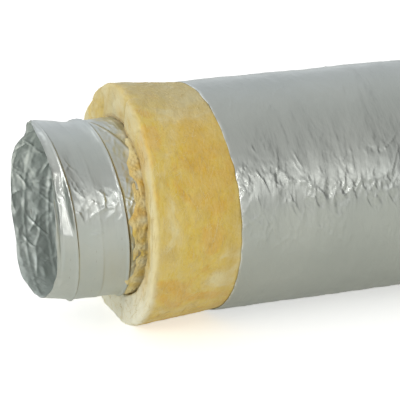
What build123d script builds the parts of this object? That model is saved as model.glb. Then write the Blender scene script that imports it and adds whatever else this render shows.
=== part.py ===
"""Insulated flexible air duct, 8 in (203 mm) nominal bore, cut open at one end.

From the inside out the duct is an inner film ply, a helical spring wire, an outer film ply, a glass-wool
blanket and a vapour jacket. X runs along the duct from its open end, Z is up, and the origin is the centre
of the bore at the open end. At the open end the blanket and the jacket stop short, one after the other, so
that the film core can be pushed over a collar.

Each layer is cut into stretches: stiff hoops, 40 mm wide, and between them flexible stretches, each with
one bend or one squeeze in its middle. All lengths are in millimetres.
"""
from build123d import *

import os

# Layer radii, from the bore outwards.
CORE_BORE_R = 102.0
FILM_THICKNESS = 0.4
WIRE_RADIUS = 0.6
WIRE_CLEARANCE = 0.1
WOOL_BORE_R = 104.6
WOOL_R = 136.0
WOOL_END_R = 141.0
JACKET_BORE_R = 136.4
JACKET_R = 137.4

# A flexible stretch is slacker than a hoop: its inner film hangs in a little, its jacket is drawn in.
SLACK_CORE_BORE_R = 101.4
SLACK_JACKET_BORE_R = 136.3
SLACK_JACKET_R = 136.8

# The duct rests on a flat along its underside; each depth is measured down from the axis.
REST_DEPTH = 135.0
JACKET_BORE_DEPTH = 134.0
SLACK_JACKET_DEPTH = 134.5
SLACK_JACKET_BORE_DEPTH = 134.1
WOOL_DEPTH = 133.7
WOOL_END_DEPTH = 134.4
WOOL_END_ROUNDING = 9.0

# The helix of the spring wire, and how far its end stands back from the cut edge of the film.
WIRE_PITCH = 30.0
WIRE_SETBACK = 5.0

# Stations along X at the open end.
WOOL_EDGE_X = 101.0
WOOL_END_LENGTH = 55.0
WOOL_BUNCH_LENGTH = 114.0
JACKET_EDGE_X = 199.0
JACKET_END_LENGTH = 40.0
JACKET_BUNCH_LENGTH = 91.0

# Stations along X behind it.
INLET_LENGTH = 370.0
FLEX_COUNT = 5
FLEX_LENGTH = 90.0
HOOP_LENGTH = 40.0
OUTLET_LENGTH = 65.0


def disc(radius, flat_depth=None):
    """A disc across the duct, cut level at flat_depth below the axis if one is given."""
    whole = Circle(radius)
    if flat_depth is None:
        return whole
    below = Pos(0, -flat_depth - radius) * Rectangle(4 * radius, 2 * radius)
    return whole - below


def tube(start, end, inside, outside):
    """The stretch of a layer from start to end along X, between two discs."""
    across = Plane.YZ.offset(start)
    return extrude(across * (outside - inside), amount=end - start)


def inner_ply(start, end, slack):
    bore = SLACK_CORE_BORE_R if slack else CORE_BORE_R
    return tube(start, end, disc(bore), disc(bore + FILM_THICKNESS))


def wire_helix(start, end):
    """A stretch of the spring wire, turned so that its neighbours carry on the same helix."""
    coil_radius = CORE_BORE_R + FILM_THICKNESS + WIRE_CLEARANCE + WIRE_RADIUS
    path = Helix(WIRE_PITCH, end - start, coil_radius, center=(start, 0, 0), direction=(1, 0, 0))
    section = Plane(origin=path @ 0, z_dir=path % 0) * Circle(WIRE_RADIUS)
    wire = sweep(section, path=path, is_frenet=True)
    return Rot(360 * start / WIRE_PITCH, 0, 0) * wire


def outer_ply(start, end):
    bore = CORE_BORE_R + FILM_THICKNESS + 2 * (WIRE_RADIUS + WIRE_CLEARANCE)
    return tube(start, end, disc(bore), disc(bore + FILM_THICKNESS))


def wool_blanket(start, end):
    return tube(start, end, disc(WOOL_BORE_R), disc(WOOL_R, WOOL_DEPTH))


def wool_end():
    """The free end of the blanket, which swells where no jacket holds it and has a soft outer edge."""
    end = WOOL_EDGE_X + WOOL_END_LENGTH
    sleeve = tube(WOOL_EDGE_X, end, disc(WOOL_BORE_R), disc(WOOL_END_R, WOOL_END_DEPTH))
    rim = [edge for edge in sleeve.faces().sort_by(Axis.X)[0].outer_wire().edges()]
    return fillet(rim, WOOL_END_ROUNDING)


def vapour_jacket(start, end, slack):
    if slack:
        bore = disc(SLACK_JACKET_BORE_R, SLACK_JACKET_BORE_DEPTH)
        return tube(start, end, bore, disc(SLACK_JACKET_R, SLACK_JACKET_DEPTH))
    return tube(start, end, disc(JACKET_BORE_R, JACKET_BORE_DEPTH), disc(JACKET_R, REST_DEPTH))


def stretches():
    """The name, start and end of every stretch behind the inlet, from the inlet to the outlet."""
    start = INLET_LENGTH
    for number in range(1, FLEX_COUNT + 1):
        yield f"flex_{number}", start, start + FLEX_LENGTH
        start += FLEX_LENGTH
        last = number == FLEX_COUNT
        length = OUTLET_LENGTH if last else HOOP_LENGTH
        yield ("outlet" if last else f"hoop_{number}"), start, start + length
        start += length


def inlet_nodes():
    """The open end: a plain stretch of core, with the blanket and the jacket standing back from its edge."""
    wool_bunch_start = WOOL_EDGE_X + WOOL_END_LENGTH
    wool_bunch_end = wool_bunch_start + WOOL_BUNCH_LENGTH
    jacket_bunch_start = JACKET_EDGE_X + JACKET_END_LENGTH
    jacket_bunch_end = jacket_bunch_start + JACKET_BUNCH_LENGTH
    return {
        "core_inner_ply_inlet": inner_ply(0, INLET_LENGTH, slack=False),
        "core_outer_ply_inlet": outer_ply(0, INLET_LENGTH),
        "wire_helix_inlet": wire_helix(WIRE_SETBACK, INLET_LENGTH),
        "wool_blanket_end": wool_end(),
        "wool_blanket_bunch": wool_blanket(wool_bunch_start, wool_bunch_end),
        "wool_blanket_inlet": wool_blanket(wool_bunch_end, INLET_LENGTH),
        "vapour_jacket_end": vapour_jacket(JACKET_EDGE_X, jacket_bunch_start, slack=False),
        "vapour_jacket_bunch": vapour_jacket(jacket_bunch_start, jacket_bunch_end, slack=True),
        "vapour_jacket_inlet": vapour_jacket(jacket_bunch_end, INLET_LENGTH, slack=False),
    }


def stretch_nodes(name, start, end):
    """The five layers of one stretch."""
    slack = name.startswith("flex")
    wire_end = end - WIRE_SETBACK if name == "outlet" else end
    return {
        f"core_inner_ply_{name}": inner_ply(start, end, slack),
        f"core_outer_ply_{name}": outer_ply(start, end),
        f"wire_helix_{name}": wire_helix(start, wire_end),
        f"wool_blanket_{name}": wool_blanket(start, end),
        f"vapour_jacket_{name}": vapour_jacket(start, end, slack),
    }


def main():
    nodes = inlet_nodes()
    for name, start, end in stretches():
        nodes.update(stretch_nodes(name, start, end))
    os.makedirs("parts", exist_ok=True)
    for name, shape in nodes.items():
        export_step(shape, f"parts/{name}.step")


main()
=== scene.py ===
"""Looks of the insulated flexible air duct: foil core, glass-wool blanket and metallised jacket.

Every layer is a sheet on one grid along the duct and round it, laid over the whole length at once, then cut
into pieces at the middle of each hoop. Each piece spans the one joint between its two bodies. Metres.
"""
import math

import bpy
import numpy as np
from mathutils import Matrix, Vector

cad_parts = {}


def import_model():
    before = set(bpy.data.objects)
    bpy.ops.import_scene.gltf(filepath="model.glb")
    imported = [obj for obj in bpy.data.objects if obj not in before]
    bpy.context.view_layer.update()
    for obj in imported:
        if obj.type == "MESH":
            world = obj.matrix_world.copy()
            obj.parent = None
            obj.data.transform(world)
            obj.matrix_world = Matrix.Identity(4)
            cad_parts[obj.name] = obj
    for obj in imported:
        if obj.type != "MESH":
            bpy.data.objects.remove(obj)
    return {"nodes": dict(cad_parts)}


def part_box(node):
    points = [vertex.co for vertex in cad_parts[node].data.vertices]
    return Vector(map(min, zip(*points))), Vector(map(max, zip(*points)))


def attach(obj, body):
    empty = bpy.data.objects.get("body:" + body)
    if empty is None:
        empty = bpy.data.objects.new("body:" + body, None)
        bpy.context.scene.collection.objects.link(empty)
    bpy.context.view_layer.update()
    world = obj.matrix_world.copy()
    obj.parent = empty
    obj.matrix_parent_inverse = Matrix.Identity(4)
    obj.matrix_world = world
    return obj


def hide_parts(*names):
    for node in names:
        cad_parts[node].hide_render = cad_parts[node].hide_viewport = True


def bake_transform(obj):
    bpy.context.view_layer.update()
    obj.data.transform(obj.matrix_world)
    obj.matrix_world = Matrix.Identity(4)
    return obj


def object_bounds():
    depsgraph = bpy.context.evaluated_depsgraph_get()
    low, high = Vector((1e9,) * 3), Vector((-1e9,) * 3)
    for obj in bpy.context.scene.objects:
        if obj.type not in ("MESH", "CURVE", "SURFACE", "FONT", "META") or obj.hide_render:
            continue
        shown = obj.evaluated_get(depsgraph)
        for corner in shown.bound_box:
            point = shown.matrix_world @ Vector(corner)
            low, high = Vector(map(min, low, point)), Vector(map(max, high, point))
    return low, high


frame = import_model()
CAD_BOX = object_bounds()
MM = 0.001
TURN = 2 * math.pi
DEG = TURN / 360

# Where the layers and joints are, from the frame.
LENGTH = CAD_BOX[1][0]
FLOOR_Z = CAD_BOX[0][2]
FLEX_COUNT = sum(name.startswith("wire_helix_flex_") for name in frame["nodes"])
HOOPS = [f"hoop_{number}" for number in range(1, FLEX_COUNT)] + ["outlet"]


def span(node):
    """Where a node starts and ends along the duct."""
    low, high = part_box(node)
    return low[0], high[0]


FLEX_SPANS = [span(f"core_outer_ply_flex_{number}") for number in range(1, FLEX_COUNT + 1)]
CUTS = [sum(span(f"core_outer_ply_{hoop}")) / 2 for hoop in HOOPS[:-1]]
WOOL_SLIDE = span("wool_blanket_bunch")
JACKET_SLIDE = span("vapour_jacket_bunch")
WOOL_CUT = WOOL_SLIDE[1] + 30 * MM
JACKET_CUT = (JACKET_SLIDE[1] + FLEX_SPANS[0][0]) / 2

# The open end: the blanket and the jacket stand back from the rim of the core.
WOOL_FACE_X = span("wool_blanket_end")[0]
JACKET_EDGE_X = span("vapour_jacket_end")[0]
WIRE_PITCH = 30 * MM
LAP_PITCH = 2 * WIRE_PITCH
LAP_START = 8.5 * MM
WIRE_START = 13 * MM

# Radii of the layers between wires.
CORE_R = 103.1 * MM
PLY_GAP = 0.25 * MM
PLY_THICKNESS = 0.25 * MM
WIRE_R = 0.6 * MM
WOOL_R = 135.6 * MM
WOOL_FREE_R = 142.6 * MM
JACKET_R = 137.0 * MM
JACKET_THICKNESS = 0.4 * MM

# How low the blanket and the jacket reach below the axis, on the flat that they rest on.
WOOL_FREE_DEPTH = 134.6 * MM
WOOL_DEPTH = 133.5 * MM
JACKET_DEPTH = 134.9 * MM

# How many points go round the duct.
CORE_COLUMNS = 350
WOOL_FRONT_COLUMNS = 420
WOOL_REST_COLUMNS = 200
JACKET_COLUMNS = 420


# ------------------------ small maths

def smooth(low, high, value):
    """0 below low, 1 above high, and a smooth step between."""
    t = np.clip((value - low) / (high - low), 0, 1)
    return t * t * (3 - 2 * t)


def bump_at(value, centre, width):
    """A bell of height 1."""
    return np.exp(-(((value - centre) / width) ** 2))


def turn_gap(angle, centre):
    """The signed angle from centre, between minus and plus half a turn."""
    return (angle - centre + math.pi) % TURN - math.pi


def side_bell(angle, degrees, width):
    """A bell round the duct, so many degrees from the top, its width in radians."""
    return bump_at(turn_gap(angle, degrees * DEG), 0, width)


def grid_of(rows, columns):
    """The position along the duct and the angle round it of every point of a grid."""
    return np.meshgrid(rows, np.linspace(0, TURN, columns, endpoint=False), indexing="ij")


def on_flat(radius, angle, depth):
    """The radius, cut back underneath so that nothing reaches lower than depth below the axis."""
    limit = np.where(np.cos(angle) < -0.5, depth / np.maximum(-np.cos(angle), 0.1), np.inf)
    return np.minimum(radius, limit)


class Ripples:
    """Smooth random waves over the duct's skin that join up all the way round."""

    def __init__(self, seed, wavelength, radius=0.12, count=26, along=1.0, around=1.0):
        draw = np.random.default_rng(seed)
        heading = draw.uniform(0, TURN, count)
        size = TURN / (wavelength * draw.uniform(0.7, 1.5, count))
        self.along = size * np.cos(heading) / along
        self.around = np.round(size * np.sin(heading) / around * radius)
        self.start = draw.uniform(0, TURN, count)

    def __call__(self, x, angle):
        total = np.zeros(np.broadcast(x, angle).shape)
        for along, around, start in zip(self.along, self.around, self.start):
            total += np.cos(along * x + around * angle + start)
        return total / math.sqrt(len(self.start) / 2)


class Creases:
    """Crumpled foil: flats that meet in sharp folds, from three sizes of folded waves."""

    def __init__(self, seed, wavelength, radius=0.12, along=1.0, around=1.0, layers=3):
        sizes = ((1.0, 1.0), (0.53, 0.5), (0.27, 0.24))[:layers]
        self.layers = [
            (Ripples(seed + step, wavelength * share, radius, 14, along, around), height)
            for step, (share, height) in enumerate(sizes)
        ]

    def __call__(self, x, angle):
        total = 0
        for waves, height in self.layers:
            total = total + height * (np.abs(waves(x, angle)) - 0.75)
        return total


class Pinches:
    """Short sharp ridges in a film. A heading of 0 runs round the duct."""

    def __init__(self, seed, count, spans, angles, lengths, heading, heights, width, radius):
        draw = np.random.default_rng(seed)
        self.x = draw.uniform(*spans, count)
        self.s = np.radians(draw.normal(*angles, count)) * radius
        self.length = draw.uniform(*lengths, count)
        self.heading = draw.normal(0, heading, count)
        self.height = draw.uniform(*heights, count)
        self.bow = draw.uniform(-0.25, 0.25, count)
        self.width = width
        self.radius = radius

    def __call__(self, x, angle):
        total = np.zeros(np.broadcast(x, angle).shape)
        way = turn_gap(angle, 0) * self.radius
        for x0, s0, length, heading, height, bow in zip(self.x, self.s, self.length, self.heading,
                                                        self.height, self.bow):
            near = np.abs(x - x0) < length + 3 * self.width
            dx, ds = (x - x0)[near], (way - s0)[near]
            along = (dx * math.sin(heading) + ds * math.cos(heading)) / (length / 2)
            across = dx * math.cos(heading) - ds * math.sin(heading) - bow * length * (along ** 2 - 0.5) * 0.4
            total[near] += height * np.exp(-np.abs(across / self.width) ** 1.3) * np.exp(-along ** 4)
        return total


# ------------------------ meshes

def place(x, radius, angle, lift=0.0):
    """Points of the skin. Angle 0 is the top, a quarter turn is the near side."""
    return np.stack([x + 0 * angle, -radius * np.sin(angle), radius * np.cos(angle) + lift], axis=-1)


def normals_of(points):
    """Smooth normals of a grid whose columns join up, pointing away from the axis on an outer skin."""
    around = np.roll(points, -1, axis=1) - np.roll(points, 1, axis=1)
    along = np.gradient(points, axis=0)
    cross = np.cross(around, along)
    return cross / np.maximum(np.linalg.norm(cross, axis=-1, keepdims=True), 1e-12)


def mesh_object(name, points, faces, normals, extras, material, slot):
    """A piece from arrays, with its own normals, its resting place and any extra values at its points."""
    mesh = bpy.data.meshes.new(name)
    mesh.vertices.add(len(points))
    mesh.vertices.foreach_set("co", points.astype(np.float32).ravel())
    mesh.loops.add(faces.size)
    mesh.loops.foreach_set("vertex_index", faces.astype(np.int32).ravel())
    mesh.polygons.add(len(faces))
    mesh.polygons.foreach_set("loop_start", np.arange(0, faces.size, 4, dtype=np.int32))
    mesh.update(calc_edges=True)
    mesh.polygons.foreach_set("use_smooth", np.ones(len(faces), bool))
    mesh.normals_split_custom_set_from_vertices(normals.tolist())
    attribute = mesh.attributes.new("rest", "FLOAT_VECTOR", "POINT")
    attribute.data.foreach_set("vector", points.astype(np.float32).ravel())
    for key, values in extras.items():
        attribute = mesh.attributes.new(key, "FLOAT", "POINT")
        attribute.data.foreach_set("value", values.astype(np.float32).ravel())
    mesh.validate()
    mesh.materials.append(material)
    made = bpy.data.objects.new(name, mesh)
    bpy.context.scene.collection.objects.link(made)
    return made


def ring_faces(rows, columns):
    """The four-sided faces of a grid whose columns join up."""
    row, column = np.meshgrid(np.arange(rows - 1), np.arange(columns), indexing="ij")
    after = (column + 1) % columns
    here, below = row * columns, (row + 1) * columns
    corners = (here + column, here + after, below + after, below + column)
    return np.stack(corners, axis=-1).reshape(-1, 4)


def cap_faces(sides):
    """The four-sided faces that close a ring with an even number of corners."""
    near = np.arange(sides // 2 - 1)
    return np.stack([near, near + 1, sides - 2 - near, sides - 1 - near], axis=-1)


def tubes(name, lines, radius, sides, taper, material, slot):
    """Closed round tubes along lines of points; taper is how thin their ends are."""
    points, normals, faces = [], [], []
    spin = np.linspace(0, TURN, sides, endpoint=False)
    start = 0
    for line in lines:
        outward = line * (0, 1, 1)
        along = np.gradient(line, axis=0)
        along /= np.linalg.norm(along, axis=1, keepdims=True)
        side = np.cross(along, outward)
        side /= np.linalg.norm(side, axis=1, keepdims=True)
        out = np.cross(side, along)
        way = out[:, None] * np.cos(spin)[None, :, None] + side[:, None] * np.sin(spin)[None, :, None]
        thickness = np.full(len(line), radius)
        thickness[[0, -1]] = radius * taper
        points.append((line[:, None] + thickness[:, None, None] * way).reshape(-1, 3))
        normals.append(way.reshape(-1, 3))
        cap = cap_faces(sides)
        faces += [ring_faces(len(line), sides) + start, cap[:, ::-1] + start,
                  cap + start + (len(line) - 1) * sides]
        start += len(line) * sides
    joined = [np.concatenate(part) for part in (points, faces, normals)]
    return mesh_object(name, *joined, {}, material, slot)


def closed_skin(name, outer, outer_normals, inner, inner_normals, extras, material, slot):
    """A closed sleeve between an outer and an inner grid of the same size."""
    rows, columns = outer.shape[:2]
    count = rows * columns
    wall = ring_faces(rows, columns)
    first = np.arange(columns)
    after = (first + 1) % columns
    start = np.stack([first, first + count, after + count, after], axis=-1)
    last = (rows - 1) * columns
    end = np.stack([first + last, after + last, after + last + count, first + last + count], axis=-1)
    faces = np.concatenate([wall, wall[:, ::-1] + count, start, end])
    points = np.concatenate([outer.reshape(-1, 3), inner.reshape(-1, 3)])
    normals = np.concatenate([outer_normals.reshape(-1, 3), inner_normals.reshape(-1, 3)])
    doubled = {key: np.concatenate([values.ravel(), values.ravel()]) for key, values in extras.items()}
    doubled["inside"] = np.repeat([0.0, 1.0], count)
    return mesh_object(name, points, faces, normals, doubled, material, slot)


def rows_between(breaks):
    """Positions along the duct from a list of (end, step) pairs, each break kept exactly."""
    places = [np.array([breaks[0][0]])]
    for (start, _), (end, step) in zip(breaks, breaks[1:]):
        count = max(1, round((end - start) / step))
        places.append(np.linspace(start, end, count + 1)[1:])
    return np.concatenate(places)


# ------------------------ the film core

def lap_distance(x, angle, pitch=LAP_PITCH):
    """How far along the duct a point lies past the nearest lap of the film strip, which winds as it goes."""
    return (x - LAP_START - LAP_PITCH * angle / TURN + pitch / 2) % pitch - pitch / 2


def wire_distance(x, angle):
    """How far it lies from the nearest ridge in the film: one on each lap and one midway between laps."""
    return lap_distance(x, angle, WIRE_PITCH)


def tip_lift(x):
    """The tip of the core is bent up a little."""
    return 7.0 * MM * (1 - smooth(-2 * MM, 62 * MM, x)) ** 1.3


broad_core = Ripples(11, 0.075)
core_creases = Creases(21, 0.026, along=0.8, around=1.2)
core_patch = Ripples(31, 0.050)
core_dents = Ripples(33, 0.017, along=0.8, around=1.3)
core_pinches = Pinches(35, 46, (0.022, 0.100), (68, 13), (0.006, 0.022), 1.3, (0.30 * MM, 0.75 * MM),
                       0.7 * MM, CORE_R)
bore_creases = Creases(41, 0.044, along=0.8, around=1.3)
bore_pinches = Pinches(45, 90, (0.004, 0.150), (-90, 42), (0.012, 0.040), 0.9, (0.5 * MM, 1.5 * MM),
                       1.4 * MM, CORE_R)
bore_broad = Ripples(51, 0.060)
rim_ripples = Ripples(61, 0.085)

# The stretch behind the rim: how long it is, where its open side and its flat facet face, and half the
# facet's angle.
RIM_ZONE = 22 * MM
NEAR_SIDE = 78 * DEG
FLAT_SIDE = 69 * DEG
FLAT_HALF = 20 * DEG

# The hand-cut rim: degrees round from the top, and how far the edge stands back there, in millimetres.
RIM_STATIONS = ((-180, 1.5), (-160, -1.5), (-130, 3), (-100, 5.5), (-72, 6), (-60, 8), (-48, 17), (-38, 16),
                (-28, 13), (-12, 8), (0, 4), (20, 2), (48, 4.5), (72, -1), (90, 0.5), (108, 2.5), (135, 4),
                (160, 3.5), (180, 1.5))


def rim_outline(angle):
    """How far the cut edge of the film stands back along the duct: a hand-cut, many-sided edge."""
    degrees = np.degrees(turn_gap(angle, 0))
    stations = np.array(RIM_STATIONS)
    return (np.interp(degrees, stations[:, 0], stations[:, 1]) + 0.5 * rim_ripples(0, angle)) * MM


def core_line(x, angle):
    """The middle of the two plies: the radius that both plies and the wire follow."""
    side = turn_gap(angle, NEAR_SIDE)
    slack = smooth(2 * MM, 13 * MM, np.abs(wire_distance(x, angle)))
    near_rim = 1 - smooth(0, RIM_ZONE, x)
    corner = np.abs(((angle / TURN * 7 + 0.2) % 1) - 0.5) * 2
    past_first = x - LAP_START - LAP_PITCH * (angle % TURN) / TURN
    flat_turn = turn_gap(angle, FLAT_SIDE) + 0.03 * rim_ripples(x, 0.7)
    chord = np.maximum(1 - math.cos(FLAT_HALF) / np.cos(flat_turn.clip(-FLAT_HALF, FLAT_HALF)), 0)
    tilt = 0.20 * (-past_first).clip(0, 16 * MM) * bump_at(flat_turn, 0, 0.36)
    dent = (CORE_R * chord + tilt) * smooth(1 * MM, 7 * MM, x) * (1 - smooth(-4 * MM, -0.5 * MM, past_first))
    flare = bump_at(side, 0.05, 0.60) * (1 - smooth(0, 6 * MM, x))
    line = CORE_R - 0.6 * MM * slack * smooth(0, 14 * MM, x) + 0.20 * MM * broad_core(x, angle)
    line = line - 1.6 * MM * corner * near_rim * (1 - 0.6 * bump_at(side, 0, 0.8))
    slit = bump_at(x, (7.5 + 0.8 * rim_ripples(0, angle)) * MM, 1.3 * MM)
    slit = slit * bump_at(angle % TURN, 94 * DEG, 0.28)
    return line - dent - 2.4 * MM * slit + 1.2 * MM * flare


def fold_line(x, angle):
    """A long fold with wool dust in it that crosses the top of the core after the second lap."""
    fold = x - 74 * MM - 0.45 * (angle * CORE_R - 5 * MM)
    return bump_at(fold, 0, 1.6 * MM) * smooth(0, 0.06, angle) * (1 - smooth(0.62, 0.70, angle))


def outer_relief(x, angle):
    """How far the outer ply stands up over its smooth line: laps, wires, crumples and folds."""
    lap = lap_distance(x, angle)
    past = x - LAP_START - LAP_PITCH * (1 + angle / TURN)
    relief = 0.35 * MM * bump_at(wire_distance(x, angle), 0, 1.6 * MM)
    relief += 1.5 * MM * bump_at(lap, -0.5 * MM, 1.2 * MM)
    relief += 0.4 * MM * smooth(-6 * MM, 0, lap) * (1 - smooth(0, 0.9 * MM, lap))
    lit = side_bell(angle, 68, 0.34)
    patch = smooth(0.25, 1.0, lit * (1.0 + 0.4 * core_patch(x, angle)))
    torn = (1 - smooth(18 * MM, 30 * MM, x)) * side_bell(angle, 78, 0.40)
    patch = np.maximum(patch, 0.28 * torn * smooth(2 * MM, 7 * MM, x))
    patch = np.maximum(patch, 0.7 * smooth(0, 6 * MM, past) * (1 - smooth(30 * MM, 60 * MM, past)))
    creases = np.maximum(0.7 - core_creases(x, angle), 0)
    relief += 0.40 * patch * MM * creases + 0.05 * MM * core_dents(x, angle)
    relief += core_pinches(x, angle) * smooth(2 * MM, 5 * MM, np.abs(lap))
    return relief + 1.0 * MM * fold_line(x, angle)


def core_grid(rows, columns, outside):
    """The visible face of the outer or the inner ply, over the whole duct."""
    x, angle = grid_of(rows, columns)
    x_cut = x + rim_outline(angle) * (1 - smooth(0, RIM_ZONE, x))
    line = core_line(x_cut, angle)
    lap = lap_distance(x_cut, angle)
    wire = wire_distance(x_cut, angle)
    past = x_cut - LAP_START - LAP_PITCH * (1 + angle / TURN)
    apart = PLY_GAP * smooth(0, 5 * MM, x)
    mouth = 1 - 0.5 * smooth(90 * MM, 260 * MM, x)
    folds = np.maximum(1.0 - bore_creases(x_cut, angle), 0)
    inward = 0.60 * MM * mouth * folds + 0.7 * MM * (1 + bore_broad(x_cut, angle).clip(-1, 1))
    inward += bore_pinches(x_cut, angle)
    if outside:
        radius = line + apart + PLY_THICKNESS - inward * (1 - smooth(2 * MM, 10 * MM, x))
        radius += outer_relief(x_cut, angle)
    else:
        radius = line - apart - PLY_THICKNESS - 0.5 * MM * bump_at(wire, 0, 1.6 * MM) - inward
    points = place(x_cut, radius, angle, tip_lift(x_cut))
    under_wool = smooth(6 * MM, 20 * MM, past + 8 * MM * turn_gap(angle, 60 * DEG).clip(-1, 1))
    dust = 0.30 * smooth(-1 * MM, 3 * MM, past) + 0.20 * under_wool - 0.10
    low_side = side_bell(angle, 122, 0.42)
    between = bump_at(past, -LAP_PITCH / 2, 20 * MM)
    stain = fold_line(x_cut, angle) + 0.5 * bump_at(wire, 0, 0.9 * MM) * low_side * between
    return points, {"lap": lap, "dust": dust, "stain": stain}


def core_rows(outside):
    """Rows of the core, close together at the open end and where the inner ply can be seen."""
    seen = [] if outside else [(200 * MM, 3.5 * MM)]
    step = 10 * MM if outside else 12 * MM
    plain = [(end, step) for end in CUTS + [LENGTH - 25 * MM]]
    return rows_between([(0.0, 0), (112 * MM, 1.25 * MM)] + seen + plain + [(LENGTH, 2.5 * MM)])


def pieces_along(rows, start):
    """The first and last row of each piece from start to the outlet, one per joint."""
    edges = [start] + CUTS + [rows[-1]]
    found = [int(np.argmin(np.abs(rows - edge))) for edge in edges]
    return list(zip(found, found[1:]))


def joint_blend(piece):
    """Bakes a piece's transform into its mesh."""
    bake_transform(piece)


def slide_blend(piece):
    """Bakes a piece's transform into its mesh."""
    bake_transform(piece)


def nodes_in(layer, number):
    """The CAD nodes that a layer's piece stands for."""
    nodes = [f"{layer}_flex_{number + 1}", f"{layer}_{HOOPS[number]}"]
    return ([f"{layer}_inlet"] if number == 0 else []) + nodes


def sleeve(name, grids, extras, first, last, material, slot):
    """The stretch of a layer between two rows, from the outer and inner grids with their normals."""
    cut = slice(first, last + 1)
    values = {key: value[cut] for key, value in extras.items()}
    return closed_skin(name, *(grid[cut] for grid in grids), values, material, slot)


def sleeves(name, layer, rows, start, grids, extras, material, slot):
    """A layer from start to the outlet, cut into one piece per joint."""
    pieces = []
    for number, (first, last) in enumerate(pieces_along(rows, start)):
        piece = sleeve(f"{name}_{number + 1}", grids, extras, first, last, material, slot)
        joint_blend(piece)
        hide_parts(*nodes_in(layer, number))
        pieces.append(piece)
    return pieces


def film_core(name, layer, outside, material):
    """One ply of the core."""
    rows = core_rows(outside)
    points, extras = core_grid(rows, CORE_COLUMNS, outside)
    normals = normals_of(points)
    sign = -1 if outside else 1
    back = points + sign * normals * PLY_THICKNESS
    outer, inner = (points, back) if outside else (back, points)
    sleeves(name, layer, rows, 0.0, (outer, normals, inner, -normals), extras, material, "core_film")


def spring_wire(material):
    """The wire helix, a round tube that follows the sag of the plies."""
    edges = [WIRE_START] + CUTS + [LENGTH - 5 * MM]
    for number, (start, end) in enumerate(zip(edges, edges[1:])):
        first = (start - LAP_START) / WIRE_PITCH * TURN
        last = (end - LAP_START) / WIRE_PITCH * TURN
        turn = np.linspace(first, last, int((last - first) / (7.5 * DEG)))
        x = LAP_START + WIRE_PITCH * turn / TURN
        line = place(x, core_line(x, turn), turn, tip_lift(x))
        piece = tubes(f"spring_wire_{number + 1}", [line], WIRE_R, 6, 1.0, material, "spring_wire")
        joint_blend(piece)
        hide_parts(*nodes_in("wire_helix", number))


# ------------------------ the blanket

wool_lumps = Ripples(71, 0.070)
wool_small = Ripples(81, 0.022)
wool_face = Ripples(91, 0.030)
wool_torn = Ripples(101, 0.012)
wool_fuzz = Ripples(105, 0.005)
SEAM_ANGLE = 14 * DEG
TUFT_COUNT = 16
FRONT_FIBRES = 2200
FAR_FIBRES = 500
FIBRE_R = 0.11 * MM


def wool_profile(angle):
    """The blanket's section from under the jacket, over its free end and back along the core."""
    lip = 5.5 * MM
    gaping = side_bell(angle, 98, 0.85)  # the mouth is wide on the near side and nearly shut on top
    mouth = CORE_R + (-0.4 + 13.0 * gaping) * MM
    inner_lip = (1.5 + 5.0 * gaping) * MM
    zero = 0 * angle
    rows = []
    top_rows = rows_between([(WOOL_FACE_X + lip, 0), (JACKET_EDGE_X + 12 * MM, 2.2 * MM), (WOOL_CUT, 6 * MM)])
    flare_end = JACKET_EDGE_X + 6 * MM
    for x in top_rows[::-1]:
        flare = 1 - smooth(WOOL_FACE_X, flare_end, x)
        flare = 0.5 * flare + 0.5 * max(0.0, 1 - (x - WOOL_FACE_X) / (flare_end - WOOL_FACE_X))
        rows.append((x + zero, WOOL_R + (WOOL_FREE_R - WOOL_R) * flare + zero, 1.0))
    for bend in np.linspace(0, math.pi / 2, 7)[1:]:
        radius = WOOL_FREE_R - lip * (1 - math.cos(bend))
        rows.append((WOOL_FACE_X + lip * (1 - math.sin(bend)) + zero, radius + zero, 1.0))
    for share in np.linspace(0, 1, 15)[1:-1]:
        top, low = WOOL_FREE_R - lip, mouth + inner_lip
        rows.append((WOOL_FACE_X + zero, top + (low - top) * share, 1 - share))
    for bend in np.linspace(0, math.pi / 2, 9):
        x = WOOL_FACE_X + inner_lip * (1 - math.cos(bend))
        rows.append((x, mouth + inner_lip * (1 - math.sin(bend)), 0.0))
    start = WOOL_FACE_X + 8 * MM
    for x in rows_between([(start, 0), (150 * MM, 2.4 * MM), (WOOL_CUT, 8 * MM)])[1:]:
        shut = smooth(start, start + 45 * MM, x)
        rows.append((x + zero, CORE_R + 2.2 * MM + (mouth - CORE_R - 2.2 * MM) * (1 - shut), 0.0))
    return (np.stack([row[0] for row in rows]), np.stack([row[1] for row in rows]),
            np.array([row[2] for row in rows])[:, None] + zero)


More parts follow.
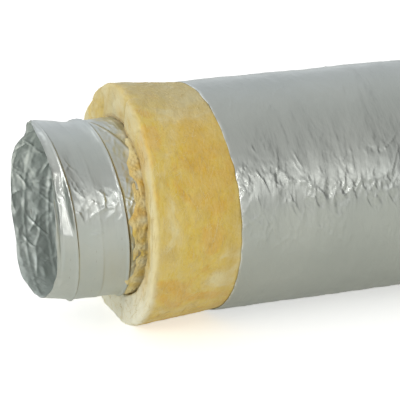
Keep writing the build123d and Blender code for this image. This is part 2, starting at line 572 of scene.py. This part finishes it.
def wool_front(material):
    """The blanket from its free end to behind the jacket's edge, with the joint of its two edges."""
    around = np.linspace(0, TURN, WOOL_FRONT_COLUMNS, endpoint=False)
    x, radius, outside = wool_profile(around)
    angle = around[None, :] + 0 * x
    path = np.hypot(np.diff(x[:, 0]), np.diff(radius[:, 0]))
    ahead = np.r_[0, np.cumsum(path)][:, None] + 0 * angle
    free = 1 - smooth(JACKET_EDGE_X - 8 * MM, JACKET_EDGE_X + 8 * MM, x)
    face = 1 - smooth(WOOL_FACE_X + 2 * MM, WOOL_FACE_X + 14 * MM, x)
    under = 0.5 * smooth(JACKET_EDGE_X, JACKET_EDGE_X + 8 * MM, x)
    lean = 6.5 * MM * smooth(0, 1, np.cos(angle))
    x = x + lean * (1 - smooth(WOOL_FACE_X + 5 * MM, JACKET_EDGE_X, x))
    swell = free * (0.28 * wool_lumps(ahead, angle) + 0.18 * wool_small(ahead, angle)) * MM
    x = x - face * (0.45 * wool_face(radius, angle) + 0.16 * wool_torn(radius, angle)) * MM
    radius = radius + swell * (outside * 1.4 - 0.4) - (0.2 + under * outside) * MM
    seam = turn_gap(angle, SEAM_ANGLE) * WOOL_FREE_R
    groove = bump_at(seam, 0, 3.4 * MM)
    x = x + groove * face * (2.0 + 3.0 * np.sin(math.pi * np.clip(1 - outside, 0, 1))) * MM
    radius = radius - groove * face * 2.0 * outside * MM
    overlap = smooth(0, 5 * MM, seam) * (1 - smooth(20 * MM, 70 * MM, seam))
    x = x - overlap * face * 2.5 * MM
    crown = bump_at(seam, -26 * MM, 32 * MM)
    x = x - crown * face * 2.0 * np.sin(math.pi * np.clip(outside, 0, 1)) * MM
    radius = on_flat(np.maximum(radius, CORE_R - 0.4 * MM), angle, WOOL_FREE_DEPTH)
    points = place(x, radius, angle)
    normals = -normals_of(points)
    rows, columns = points.shape[:2]
    first = np.arange(columns)
    after = (first + 1) % columns
    end = (rows - 1) * columns
    cap = np.stack([first, after, after + end, first + end], axis=-1)
    faces = np.concatenate([ring_faces(rows, columns)[:, ::-1], cap])
    near = side_bell(angle, 95, 1.15)
    front = 1 - smooth(WOOL_FACE_X + 1 * MM, WOOL_FACE_X + (9 + 1.5 * wool_lumps(0, angle)) * MM, x)
    pale = front * np.maximum(smooth(0.30, 0.75, outside), 0.55 * (1 - near))
    rusty = bump_at(seam, -16 * MM, 9 * MM) * bump_at(outside, 0.35, 0.3) * face
    amber = bump_at(x, 168 * MM, 24 * MM) * side_bell(angle, 50, 0.42)
    amber = np.maximum(amber, 0.8 * rusty)
    # Painted shade: the inside of the blanket's mouth, and a crease along the core on top, are painted dark
    # brown where shade falls.
    painted_mouth_shade = (1 - smooth(0.0, 0.05, outside)) * smooth(WOOL_FACE_X + 0.5 * MM, WOOL_FACE_X + 12 * MM, x)
    on_top = side_bell(angle, 8, 0.75)
    painted_mouth_shade = np.maximum(painted_mouth_shade, on_top * (1 - smooth(0.02, 0.16, outside)) * face)
    hem = bump_at(x, JACKET_EDGE_X - 2 * MM, 9 * MM) * smooth(-0.2, 0.5, np.sin(angle))
    inner_strip = face * (1 - smooth(0.25, 0.55, outside)) * near
    # Painted light: the bottom of the blanket's face is painted paler, making up for the shade the floor
    # casts there.
    low = smooth(0.2, 0.95, -np.cos(angle)) * face
    # Painted light and shade: the top of the blanket is painted greyer and darker, standing in for the sky
    # light and sheen that fall on it.
    top = smooth(0.80, 1.0, np.cos(angle)) * (1 - 0.7 * face)
    extras = {"pale": pale, "amber": amber, "painted_mouth_shade": painted_mouth_shade, "low": low, "crown": top,
              "ochre": np.maximum(0.6 * hem, inner_strip)}
    piece = mesh_object("wool_blanket_end_roll", points.reshape(-1, 3), faces, normals.reshape(-1, 3), extras,
                        material, "glass_wool")
    slide_blend(piece)
    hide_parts("wool_blanket_end", "wool_blanket_bunch")
    return points


def foil_top(x, angle):
    """The radius of the outer ply's visible face."""
    return core_line(x, angle) + PLY_GAP + PLY_THICKNESS + outer_relief(x, angle)


def torn_strip():
    """A thin ragged layer of the blanket that stays on the core in front of its mouth, as rings of points."""
    angles = np.radians(np.linspace(26, 160, 260))[:, None]
    share = np.r_[np.linspace(0, 1, 23), np.linspace(1, 0, 23)][None, :]
    over = np.r_[np.ones(23), np.zeros(23)][None, :]
    ends = smooth(26 * DEG, 34 * DEG, angles)
    ends = ends * (1 - smooth(150 * DEG, 160 * DEG, angles))
    ragged = 6.5 + 4.0 * wool_lumps(0.3, angles) + 1.5 * wool_small(0.1, angles)
    front = WOOL_FACE_X - np.maximum(ragged, 1.0) * ends * MM
    x = front + (WOOL_FACE_X + 16 * MM - front) * share
    angles = angles + 0 * x
    thickness = 0.45 + 0.3 * wool_small(x, angles) + 0.2 * wool_torn(x, angles) + 0.2 * wool_fuzz(x, angles)
    thickness = thickness.clip(0.1, 2.0) * MM
    raised = over * thickness * smooth(0, 0.2, share) * (1 - smooth(0.9, 1.0, share)) * (0.2 + 0.8 * ends)
    return place(x, foil_top(x, angles) + 0.6 * MM * smooth(0, 0.12, share) + raised, angles, tip_lift(x))


def tuft(draw):
    """One scrap of wool on the core, as rings of points from its middle, over its edge and back below."""
    spin = np.linspace(0, TURN, 20, endpoint=False)
    reach = np.r_[0.05, np.linspace(0.2, 1, 6), np.linspace(1, 0.2, 6)[1:], 0.05][:, None]
    over = np.r_[np.ones(7), np.zeros(6)][:, None]
    angle = math.radians(draw.uniform(40, 150))
    ridge = LAP_START + LAP_PITCH * (1 + angle / TURN)
    x = draw.uniform(min(ridge + 7 * MM, WOOL_FACE_X), WOOL_FACE_X + 4 * MM)
    wide, long, high = draw.uniform(2, 5) * MM, draw.uniform(5, 16) * MM, draw.uniform(0.5, 1.3) * MM
    ragged = 1 + 0.22 * np.sin(2 * spin + draw.uniform(0, TURN))
    ragged = ragged + 0.16 * np.sin(5 * spin + draw.uniform(0, TURN))
    xs = x + wide * reach * ragged * np.cos(spin)
    angles = angle + long / CORE_R * reach * ragged * np.sin(spin)
    mound = over * high * np.sqrt(np.maximum(1 - reach ** 2, 0))
    mound = mound * (1 + 0.35 * wool_torn(xs, angles).clip(-1.5, 1.5))
    return place(xs, foil_top(xs, angles) + 0.2 * MM + mound, angles, tip_lift(xs))


def wool_scraps(material):
    """Glass wool that sticks to the core in front of the blanket."""
    draw = np.random.default_rng(211)
    points, normals, faces = [], [], []
    start = 0
    for grid in [torn_strip()] + [tuft(draw) for _ in range(TUFT_COUNT)]:
        rings, sides = grid.shape[:2]
        cap = cap_faces(sides)
        points.append(grid.reshape(-1, 3))
        normals.append(-normals_of(grid).reshape(-1, 3))
        faces += [ring_faces(rings, sides)[:, ::-1] + start, cap + start,
                  cap[:, ::-1] + start + (rings - 1) * sides]
        start += rings * sides
    points, faces, normals = [np.concatenate(part) for part in (points, faces, normals)]
    extras = {"pale": 0.5 + 0.3 * wool_small(points[:, 0], np.arctan2(-points[:, 1], points[:, 2]))}
    piece = mesh_object("wool_scraps", points, faces, normals, extras, material, "glass_wool")
    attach(piece, "inlet_end")


def on_grid(skin, row, column):
    """Points between the rows and columns of a grid, and the way out of its skin there."""
    low_row, low_column = row.astype(int), np.floor(column).astype(int)
    part_row, part_column = (row - low_row)[:, None], (column - low_column)[:, None]
    near, far = low_column % skin.shape[1], (low_column + 1) % skin.shape[1]
    upper = skin[low_row, near] * (1 - part_column) + skin[low_row, far] * part_column
    lower = skin[low_row + 1, near] * (1 - part_column) + skin[low_row + 1, far] * part_column
    out = np.cross(skin[low_row + 1, near] - skin[low_row, near], skin[low_row, far] - skin[low_row, near])
    return upper * (1 - part_row) + lower * part_row, out / np.linalg.norm(out, axis=1, keepdims=True)


def wool_fibres(name, skin, open_rows, count, material):
    """Loose strands that lie on a torn end of the blanket and stand a little proud of it."""
    draw = np.random.default_rng(221)
    rows, columns = skin.shape[:2]
    step = np.linspace(-1, 1, 5)
    lines = []
    for _ in range(count):
        row = draw.integers(open_rows[0] + 3, open_rows[-1] - 3)
        column = draw.integers(0, columns)
        down, across = draw.normal(0, 1.6), draw.normal(0, 3.2)
        bow = draw.normal(0, 0.5)
        row_path = np.clip(row + down * step + bow * step ** 2, 1, rows - 2)
        line, out = on_grid(skin, row_path, column + across * step + bow * step ** 2)
        proud = (0.15 + draw.exponential(0.35) * (step * draw.choice([-1, 1]) + 1) / 2) * MM
        line = line + out * proud[:, None]
        line[:, 2] = np.maximum(line[:, 2], FLOOR_Z + 0.2 * MM)
        lines.append(line)
    lengths = [np.linalg.norm(np.diff(line, axis=0), axis=1) for line in lines]
    lines = [line for line, parts in zip(lines, lengths) if parts.min() > 0.2 * MM and parts.max() < 12 * MM]
    return tubes(name, lines, FIBRE_R, 4, 0.4, material, "glass_wool")


def wool_rest(material):
    """The blanket under the jacket, and its square cut at the outlet."""
    breaks = [(WOOL_CUT, 0)] + [(cut, 12 * MM) for cut in CUTS]
    rows = rows_between(breaks + [(LENGTH - 14 * MM, 10 * MM), (LENGTH - 4 * MM, 1.4 * MM),
                                  (LENGTH - 1.5 * MM, 0.25 * MM)])
    x, angle = grid_of(rows, WOOL_REST_COLUMNS)
    outer_r = on_flat(WOOL_R - 0.8 * MM + 0.1 * MM * wool_lumps(x, angle), angle, WOOL_DEPTH)
    inner_r = CORE_R + 2.0 * MM
    end = np.clip((x - LENGTH + 14 * MM) / (12.5 * MM), 0, 1)
    rounding = (1 - 0.998 * end ** 4) ** (1 / 3)
    middle, half = (outer_r + inner_r) / 2, (outer_r - inner_r) / 2 * rounding
    outer_r, inner_r = middle + half, middle - half
    torn_out, torn_in = wool_torn(outer_r * 3, angle), wool_torn(inner_r * 3, angle)
    lumps_out, lumps_in = wool_small(outer_r * 2, angle), wool_small(inner_r * 2, angle)
    outer = place(x + end * (0.5 * lumps_out + 0.3 * torn_out - 1.3) * MM, outer_r, angle)
    inner = place(x + end * (0.5 * lumps_in + 0.3 * torn_in - 1.3) * MM, inner_r, angle)
    grids = (outer, normals_of(outer), inner, -normals_of(inner))
    for piece in sleeves("wool_blanket_roll", "wool_blanket", rows, WOOL_CUT, grids, {"pale": end}, material,
                         "glass_wool"):
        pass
    return np.concatenate([outer[-14:], inner[-14:][::-1]])


# ------------------------ the jacket

jacket_broad = Ripples(111, 0.110, JACKET_R, along=0.8, around=1.6)
jacket_streaks = Ripples(115, 0.034, JACKET_R, along=0.6, around=3.0)
jacket_folds = Creases(121, 0.028, JACKET_R, along=0.7, around=1.4)
jacket_fine = Creases(131, 0.013, JACKET_R, along=0.8, around=1.2)
jacket_mask = Ripples(141, 0.060, JACKET_R)
jacket_edge = Ripples(151, 0.030, JACKET_R)
jacket_border = Ripples(161, 0.050, JACKET_R)
jacket_pinches = Pinches(165, 220, (0.200, 1.04), (84, 14), (0.006, 0.036), 0.40, (0.25 * MM, 0.75 * MM),
                         0.8 * MM, JACKET_R)
jacket_scuffs = Pinches(175, 160, (0.200, 1.04), (20, 75), (0.010, 0.050), 0.55, (0.20 * MM, 0.60 * MM),
                        1.2 * MM, JACKET_R)


def jacket_grid(rows):
    """The outside of the jacket: slack film with crumples along its near side, cut a little askew."""
    x, angle = grid_of(rows, JACKET_COLUMNS)
    y, z = -JACKET_R * np.sin(angle), JACKET_R * np.cos(angle)
    slant = -0.026 * z - 0.063 * y
    near_edge = 1 - smooth(JACKET_EDGE_X, JACKET_EDGE_X + 60 * MM, x)
    x = x + near_edge * (slant + 0.4 * MM * jacket_edge(0, angle))
    lip = 1 - smooth(0, 3 * MM, rows[:, None] - JACKET_EDGE_X)
    side = np.degrees(turn_gap(angle, 0)) + 3.0 * jacket_border(x, 0.5 + 0 * angle)
    band = smooth(54, 68, side) * (1 - smooth(90, 112, side))
    mask = band * smooth(-1.0, 0.9, jacket_mask(x, angle))
    mask = mask * (1 - 0.45 * smooth(330 * MM, 520 * MM, x))
    radius = JACKET_R + 0.35 * MM * jacket_broad(x, angle) + 0.12 * MM * jacket_streaks(x, angle)
    radius = radius - (0.09 + 0.49 * mask) * MM * jacket_folds(x, angle)
    radius = radius - (0.03 + 0.24 * mask) * MM * jacket_fine(x, angle)
    radius = radius + jacket_pinches(x, angle) + jacket_scuffs(x, angle)
    along_fold = x - JACKET_EDGE_X
    fold = (turn_gap(angle, 91 * DEG) * JACKET_R + 0.55 * along_fold) / MM
    radius += 0.8 * MM * np.exp(-np.abs(fold / 1.5) ** 1.3) * (1 - smooth(22 * MM, 36 * MM, along_fold))
    radius = np.maximum(radius, JACKET_R - 0.8 * MM) - lip * 0.7 * MM
    # The last 1.8 mm of film at the cut edge: nicks, and a painted highlight, since the material paints this
    # edge near-white in patches.
    nicks_and_painted_edge_highlight = 1 - smooth(0, 1.8 * MM, rows[:, None] - JACKET_EDGE_X) + 0 * x
    return place(x, on_flat(radius, angle, JACKET_DEPTH), angle), {"lip": nicks_and_painted_edge_highlight}


def jacket(material):
    """The jacket: a cuff at the open end, then one piece per joint."""
    fine_rows = [(cut, 1.4 * MM) for cut in [JACKET_CUT] + CUTS[:2]]
    rows = rows_between([(JACKET_EDGE_X, 0)] + fine_rows + [(cut, 3.0 * MM) for cut in CUTS[2:] + [LENGTH]])
    outer, extras = jacket_grid(rows)
    normals = normals_of(outer)
    grids = (outer, normals, outer - normals * JACKET_THICKNESS, -normals)
    cut_row = int(np.argmin(np.abs(rows - JACKET_CUT)))
    cuff = sleeve("jacket_cuff_film", grids, extras, 0, cut_row, material, "jacket_film")
    slide_blend(cuff)
    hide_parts("vapour_jacket_end", "vapour_jacket_bunch")
    sleeves("jacket_film", "vapour_jacket", rows, JACKET_CUT, grids, extras, material, "jacket_film")


# ------------------------ materials

class Nodes:
    """A node tree, and short calls for the nodes used here."""

    def __init__(self, tree):
        self.tree = tree

    def feed(self, socket, source):
        """Gives a socket a number, a vector or a colour, or joins another node's output to it."""
        if isinstance(source, bpy.types.NodeSocket):
            self.tree.links.new(source, socket)
        else:
            socket.default_value = (*source, 1) if socket.type == "RGBA" else source

    def node(self, kind, sockets=None, **settings):
        """A new node, with its settings and what its sockets are fed."""
        made = self.tree.nodes.new(kind)
        for key, value in settings.items():
            setattr(made, key, value)
        for key, source in (sockets or {}).items():
            self.feed(made.inputs[key], source)
        return made

    def source(self):
        """Where each point is: the direction in the world, and its resting place in metres on a piece."""
        return self.node("ShaderNodeTexCoord").outputs["Generated"]

    def noise(self, scale, detail=4.0, roughness=0.55, stretch=(1, 1, 1), distortion=0.0):
        mapping = self.node("ShaderNodeMapping", {"Scale": stretch, "Vector": self.source()})
        made = self.node("ShaderNodeTexNoise", {
            "Scale": scale, "Detail": detail, "Roughness": roughness, "Distortion": distortion,
            "Vector": mapping.outputs["Vector"]})
        return made.outputs["Fac"]

    def span(self, source, low, high, to_low, to_high, kind="LINEAR"):
        made = self.node("ShaderNodeMapRange", {
            "From Min": low, "From Max": high, "To Min": to_low, "To Max": to_high, "Value": source},
            interpolation_type=kind)
        return made.outputs["Result"]

    def maths(self, operation, first, second):
        return self.node("ShaderNodeMath", {0: first, 1: second}, operation=operation).outputs["Value"]

    def times(self, first, second):
        return self.maths("MULTIPLY", first, second)

    def ramp(self, source, stops):
        made = self.node("ShaderNodeValToRGB", {"Fac": source})
        elements = made.color_ramp.elements
        while len(elements) < len(stops):
            elements.new(0.5)
        for element, (position, colour) in zip(elements, stops):
            element.position = position
            element.color = (*colour, 1)
        return made.outputs["Color"]

    def mix(self, share, first, second):
        sockets = {"Factor": share, 6: first, 7: second}
        return self.node("ShaderNodeMix", sockets, data_type="RGBA").outputs[2]

    def split_by_camera(self, lighting, seen, output):
        """Shows the camera one surface or background, and lights everything else with another."""
        to_camera = self.node("ShaderNodeLightPath").outputs["Is Camera Ray"]
        choose = self.node("ShaderNodeMixShader", {"Fac": to_camera, 1: lighting, 2: seen})
        self.feed(self.tree.nodes[output].inputs["Surface"], choose.outputs["Shader"])


class Shader(Nodes):
    """A material with a Principled surface."""

    def __init__(self, name):
        self.material = bpy.data.materials.new(name)
        self.material.use_nodes = True
        super().__init__(self.material.node_tree)
        self.surface = self.tree.nodes["Principled BSDF"]

    def source(self):
        return self.node("ShaderNodeAttribute", attribute_name="rest").outputs["Vector"]

    def value(self, name):
        """A value stored at the points of a piece, 0 where it has none of that name."""
        return self.node("ShaderNodeAttribute", attribute_name=name).outputs["Fac"]

    def tint(self, base, name, share, colour):
        """The base with a colour over it, as far as a stored value says."""
        return self.mix(self.times(self.value(name), share), base, colour)

    def set(self, socket, source):
        self.feed(self.surface.inputs[socket], source)

    def relief(self, *bumps):
        """Bumps that lie on one another, each a height, its distance in metres and its strength."""
        below = {}
        for height, distance, strength in bumps:
            sockets = {"Distance": distance, "Strength": strength, "Height": height, **below}
            below = {"Normal": self.node("ShaderNodeBump", sockets).outputs["Normal"]}
        self.set("Normal", below["Normal"])


def foil_material():
    """Satin foil laminate of the core, with a glue line at each lap and wool dust near the blanket."""
    shader = Shader("core_foil")
    cloud = shader.noise(20, 3)
    base = shader.ramp(cloud, [(0.3, (0.52, 0.555, 0.54)), (0.7, (0.58, 0.60, 0.575))])
    past_lap = shader.value("lap")
    glue = shader.times(shader.span(past_lap, 0.2 * MM, 0.6 * MM, 0, 1),
                        shader.span(past_lap, 1.1 * MM, 1.6 * MM, 1, 0))
    patchy = shader.span(shader.noise(24, 2), 0.42, 0.55, 0.15, 0.9)
    base = shader.mix(shader.times(glue, patchy), base, (0.20, 0.15, 0.09))
    speck = shader.maths("ADD", shader.noise(45, 5, 0.65), shader.value("dust"))
    dust = shader.span(speck, 0.81, 1.12, 0, 0.85)
    tint = shader.ramp(shader.noise(50, 4), [(0.38, (0.72, 0.54, 0.20)), (0.60, (0.86, 0.80, 0.60))])
    base = shader.mix(dust, base, tint)
    base = shader.tint(base, "stain", 0.60, (0.30, 0.24, 0.08))
    shader.set("Base Color", base)
    shader.set("Metallic", shader.span(dust, 0, 1, 1.0, 0.10))
    shader.set("Roughness", shader.span(shader.noise(40, 4), 0.3, 0.75, 0.28, 0.35))
    crumple = shader.noise(55, 3, 0.5, distortion=0.4)
    streak = shader.noise(60, 4, 0.6, stretch=(4.0, 1, 1))
    shader.relief((crumple, 0.0012, 0.22), (streak, 0.0010, 0.22))
    return shader.material


def bore_material():
    """The inner ply: the same foil, more crumpled."""
    shader = Shader("bore_foil")
    cloud = shader.noise(45, 3)
    shader.set("Base Color", shader.ramp(cloud, [(0.3, (0.70, 0.75, 0.73)), (0.7, (0.82, 0.86, 0.84))]))
    shader.set("Metallic", 0.80)
    shader.set("Roughness", shader.span(shader.noise(60, 4), 0.3, 0.75, 0.40, 0.54))
    crumple = shader.noise(60, 2, 0.5, distortion=0.6)
    broad = shader.noise(22, 2, 0.5, distortion=0.8)
    shader.relief((broad, 0.0060, 0.35), (crumple, 0.0020, 0.35))
    return shader.material


def jacket_material():
    """Satin metallised film with faint streaks round the duct."""
    shader = Shader("jacket_film")
    cloud = shader.noise(9, 4)
    base = shader.ramp(cloud, [(0.3, (0.48, 0.505, 0.485)), (0.7, (0.53, 0.55, 0.525))])
    # Nicks in the cut edge and a painted highlight along it: the edge is painted near-white in patches.
    nicks_and_painted_edge_highlight = shader.times(shader.value("lip"), shader.span(shader.noise(90, 2), 0.40, 0.55, 0.1, 0.8))
    shader.set("Base Color", shader.mix(nicks_and_painted_edge_highlight, base, (0.95, 0.96, 0.94)))
    shader.set("Metallic", 1.0)
    shader.set("Roughness", shader.span(shader.noise(22, 4), 0.3, 0.75, 0.28, 0.36))
    streak = shader.noise(30, 5, 0.6, stretch=(5.0, 1, 1))
    crumple = shader.noise(70, 3, 0.5, distortion=0.5)
    long_streak = shader.noise(10, 2, 0.5, stretch=(2.2, 1, 1), distortion=1.4)
    shader.relief((crumple, 0.0008, 0.25), (long_streak, 0.0050, 0.34), (streak, 0.0020, 0.27))
    return shader.material


def wool_material():
    """Yellow glass wool: cream at its cut edge, ochre to orange in patches, matted fibres."""
    shader = Shader("glass_wool")
    broad = shader.noise(15, 4, 0.55, distortion=0.8)
    blotch = shader.ramp(broad, [(0.37, (0.81, 0.70, 0.37)), (0.46, (0.76, 0.56, 0.15)),
                                 (0.53, (0.76, 0.55, 0.08)), (0.61, (0.74, 0.44, 0.04))])
    strand = shader.noise(70, 6, 0.7, stretch=(1.0, 0.35, 0.35), distortion=0.3)
    base = shader.mix(shader.span(strand, 0.42, 0.70, 0.0, 0.38), blotch, (0.77, 0.66, 0.35))
    base = shader.mix(shader.span(shader.noise(38, 5, 0.6), 0.50, 0.70, 0.0, 0.55), base, (0.57, 0.38, 0.06))
    base = shader.tint(base, "ochre", 0.8, (0.58, 0.40, 0.09))
    base = shader.tint(base, "amber", 0.75, (0.72, 0.43, 0.035))
    # Painted light and shade: the top of the blanket greyer and darker, for the sky light and sheen on it.
    base = shader.tint(base, "crown", 0.6, (0.50, 0.43, 0.22))
    pale = shader.times(shader.value("pale"), shader.span(shader.noise(30, 3), 0.3, 0.6, 0.65, 1.0))
    base = shader.mix(pale, base, (0.80, 0.71, 0.42))
    # Painted light: the bottom of the face paler, making up for the floor's shade.
    base = shader.tint(base, "low", 0.92, (0.97, 0.95, 0.80))
    # Painted shade: dark brown in the blanket's mouth and along its top crease.
    base = shader.tint(base, "painted_mouth_shade", 0.85, (0.42, 0.26, 0.06))
    fibre = shader.noise(420, 4, 0.7, stretch=(1.0, 0.35, 0.35))
    base = shader.mix(shader.span(fibre, 0.35, 0.65, 0.0, 0.20), base, (0.84, 0.75, 0.50))
    shader.set("Base Color", base)
    shader.set("Roughness", 0.95)
    shader.set("Sheen Weight", 0.25)
    shader.set("Sheen Roughness", 0.6)
    shader.set("Specular IOR Level", 0.15)
    matted = shader.noise(130, 6, 0.7)
    shader.relief((matted, 0.0030, 0.6), (fibre, 0.0010, 0.5))
    return shader.material


def strand_material():
    """Single strands of glass wool, paler than the mat they lie on."""
    shader = Shader("wool_strand")
    shade = shader.noise(60, 3)
    shader.set("Base Color", shader.ramp(shade, [(0.35, (0.66, 0.50, 0.18)), (0.6, (0.86, 0.76, 0.46))]))
    shader.set("Roughness", shader.span(shade, 0.3, 0.7, 0.55, 0.8))
    shader.set("Specular IOR Level", 0.3)
    return shader.material


def wire_material():
    """Drawn steel, rubbed along its length."""
    shader = Shader("spring_wire")
    drawn = shader.noise(300, 3, 0.6, stretch=(1, 0.2, 0.2))
    shader.set("Base Color", shader.ramp(drawn, [(0.3, (0.36, 0.34, 0.31)), (0.7, (0.50, 0.48, 0.45))]))
    shader.set("Metallic", 1.0)
    shader.set("Roughness", shader.span(drawn, 0.3, 0.7, 0.25, 0.45))
    return shader.material


def floor_material():
    """A pale floor: white to the camera, and a little darker and warmer in what it reflects onto the foil."""
    shader = Shader("studio_floor")
    cloud = shader.node("ShaderNodeTexNoise", {"Scale": 3})
    stops = [(0.4, (0.92, 0.92, 0.92)), (0.6, (0.94, 0.94, 0.94))]
    shader.set("Base Color", shader.ramp(cloud.outputs["Fac"], stops))
    shader.set("Roughness", 0.9)
    shader.set("Emission Color", (1, 1, 1))
    shader.set("Emission Strength", 0.50)
    bounce = shader.node("ShaderNodeBsdfPrincipled", {
        "Base Color": (0.74, 0.74, 0.69), "Roughness": 1.0, "Emission Color": (1.0, 1.0, 0.92),
        "Emission Strength": 0.20})
    shader.split_by_camera(bounce.outputs["BSDF"], shader.surface.outputs["BSDF"], "Material Output")
    return shader.material


# ------------------------ studio

def stand(name, data, place_at, aim):
    """Stands a camera or a light at a place, turned towards aim."""
    made = bpy.data.objects.new(name, data)
    made.location = place_at
    made.rotation_mode = "QUATERNION"
    made.rotation_quaternion = (Vector(aim) - Vector(place_at)).to_track_quat("-Z", "Y")
    bpy.context.scene.collection.objects.link(made)
    return made


def camera():
    """A long lens, from the left, in front and above, on the stretch behind the open end."""
    azimuth, elevation, distance = -21.1 * DEG, 17.9 * DEG, 2.373
    aim = Vector((WOOL_FACE_X + 0.1086, 0.0, -0.006))
    back = Vector((math.sin(azimuth) * math.cos(elevation), -math.cos(azimuth) * math.cos(elevation),
                   math.sin(elevation)))
    data = bpy.data.cameras.new("camera")
    data.lens, data.sensor_width = 180, 36
    bpy.context.scene.camera = stand("camera", data, aim + back * distance, aim)


def area_light(name, place_at, aim, size, power, colour):
    """A soft rectangular light, its size in metres and its power in watts."""
    data = bpy.data.lights.new(name, "AREA")
    data.shape = "RECTANGLE"
    data.size, data.size_y = size
    data.energy = power
    data.color = colour
    stand(name, data, place_at, aim)


def world():
    """White to the camera. On the foil: soft grey bands, cloudy, and darker towards the far end."""
    made = bpy.data.worlds.new("studio")
    bpy.context.scene.world = made
    made.use_nodes = True
    nodes = Nodes(made.node_tree)
    way = nodes.node("ShaderNodeSeparateXYZ", {"Vector": nodes.source()})
    bands = nodes.ramp(nodes.span(way.outputs["Y"], -1, 1, 0, 1),
                       [(0.30, (0.63, 0.63, 0.61)), (0.50, (0.75, 0.76, 0.74)), (0.66, (0.73, 0.74, 0.73)),
                        (0.92, (0.73, 0.76, 0.79))])
    cloud = nodes.span(nodes.noise(1.7, 2.0, 0.5, stretch=(3.2, 1.0, 1.0)), 0.35, 0.65, 0.78, 1.22)
    gloom = nodes.span(way.outputs["X"], 0.45, 0.80, 1.0, 0.32, "SMOOTHSTEP")
    shaded = nodes.node("ShaderNodeVectorMath", {0: bands, "Scale": nodes.times(cloud, gloom)},
                        operation="SCALE")
    dim = made.node_tree.nodes["Background"]
    nodes.feed(dim.inputs["Color"], shaded.outputs["Vector"])
    nodes.feed(dim.inputs["Strength"], 1.08)
    seen = nodes.node("ShaderNodeBackground", {"Color": (1, 1, 1)})
    nodes.split_by_camera(dim.outputs["Background"], seen.outputs["Background"], "World Output")


def studio():
    """The background, the lights and the floor."""
    bpy.context.scene.view_settings.view_transform = "Standard"
    world()
    area_light("key", (-0.2, -2.15, 0.78), (0.1, 0, 0), (0.22, 0.22), 3.0, (1.0, 0.98, 0.95))
    area_light("key_along", (0.45, -2.25, 0.85), (0.5, 0, 0), (0.25, 0.25), 0.7, (1.0, 0.98, 0.95))
    area_light("front_soft", (1.1, -2.5, 1.0), (0.3, 0, 0), (1.1, 0.7), 1.8, (1.0, 0.99, 0.97))
    area_light("side_soft", (-2.2, -0.6, 0.9), (0, 0, 0), (1.0, 1.2), 15, (1.0, 0.99, 0.97))
    area_light("top_small", (-0.25, 1.2, 2.3), (0, 0, 0), (1.0, 1.0), 2, (0.98, 0.99, 1.0))
    bpy.ops.mesh.primitive_plane_add(size=40, location=(0, 0, FLOOR_Z))
    floor = bpy.context.object
    floor.name = "studio_floor"
    floor.data.materials.append(floor_material())


camera()
studio()
film_core("core_inner_film", "core_inner_ply", False, bore_material())
film_core("core_outer_film", "core_outer_ply", True, foil_material())
spring_wire(wire_material())
wool = wool_material()
front_skin = wool_front(wool)
far_skin = wool_rest(wool)
wool_scraps(wool)
strand = strand_material()
open_rows = np.flatnonzero(front_skin[:, 0, 0] < JACKET_EDGE_X - 6 * MM)
front_fibres = wool_fibres("wool_fibres_front", front_skin, open_rows, FRONT_FIBRES, strand)
slide_blend(front_fibres)
far_fibres = wool_fibres("wool_fibres_far", far_skin, range(len(far_skin)), FAR_FIBRES, strand)
joint_blend(far_fibres)
jacket(jacket_material())
